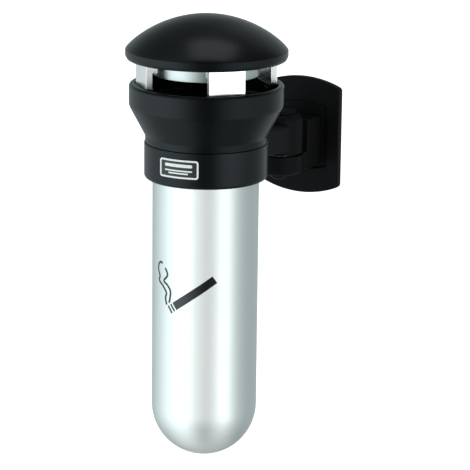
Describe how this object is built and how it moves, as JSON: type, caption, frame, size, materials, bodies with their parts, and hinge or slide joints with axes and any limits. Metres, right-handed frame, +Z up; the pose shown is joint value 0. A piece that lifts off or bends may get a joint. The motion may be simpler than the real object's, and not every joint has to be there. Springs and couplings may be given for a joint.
{
  "type": "wall-mounted ashtray bin",
  "caption": "Cylindrical wall ashtray bin: domed black roof on steel legs over a bowl, a round-bottomed brushed steel canister hung in a collar, and an arm that swivels on a wall bracket.",
  "frame": {"origin": "centre of the wall plate's flat back face", "axes": "+Y into the wall, out of the plate's back face; the bin stands out along -Y; +Z up along the canister; +X to the right for someone facing the wall"},
  "size_m": [0.1346, 0.2553, 0.378],
  "materials": {
    "black_coat": "black satin powder coat with a very fine texture",
    "brushed_steel": "stainless steel brushed around the tube",
    "satin_steel": "bright satin stainless steel",
    "zinc_plate": "dull zinc-plated steel",
    "bush_polymer": "natural bearing nylon",
    "gasket_rubber": "matt black rubber",
    "badge_plastic": "plain badge with a pale border and a dark field, no lettering"
  },
  "bodies": {
    "wall_mount": {"wall_bracket": "black_coat", "pivot_post": "zinc_plate", "post_domed_nut": "black_coat", "thrust_washer": "satin_steel", "post_top_washer": "zinc_plate", "post_top_nut": "zinc_plate"},
    "swing_arm": {"collar_arm": "black_coat", "lower_bush": "bush_polymer", "upper_bush": "bush_polymer", "pivot_cap": "black_coat", "head_lock_screw": "zinc_plate", "badge": "badge_plastic"},
    "head": {"bowl": "black_coat", "neck_gasket": "gasket_rubber", "drum": "satin_steel", "carrier_plate": "zinc_plate", "roof_washer": "zinc_plate", "roof_bolt": "zinc_plate", "dome": "black_coat", "front_right_leg": "satin_steel", "rear_right_leg": "satin_steel", "rear_left_leg": "satin_steel", "front_left_leg": "satin_steel", "front_right_foot_screw": "zinc_plate", "front_right_top_screw": "zinc_plate", "rear_right_foot_screw": "zinc_plate", "rear_right_top_screw": "zinc_plate", "rear_left_foot_screw": "zinc_plate", "rear_left_top_screw": "zinc_plate", "front_left_foot_screw": "zinc_plate", "front_left_top_screw": "zinc_plate"},
    "canister": {"canister_tube": "brushed_steel", "lift_bar": "satin_steel"}
  },
  "joints": [
    {"name": "bracket_swivel", "type": "hinge", "parent": "wall_mount", "child": "swing_arm", "pos_m": [0, -0.049, 0.008], "axis": [0, 0, 1], "range_deg": [-75, 75]},
    {"name": "head_lift", "type": "slide", "parent": "swing_arm", "child": "head", "axis": [0, 0, 1], "range_m": [0, 0.33]},
    {"name": "canister_lift", "type": "slide", "parent": "swing_arm", "child": "canister", "axis": [0, 0, 1], "range_m": [0, 0.297]}
  ],
  "couplings": [
    {"joint": "canister_lift", "follows": "head_lift", "ratio": 0.9}
  ]
}
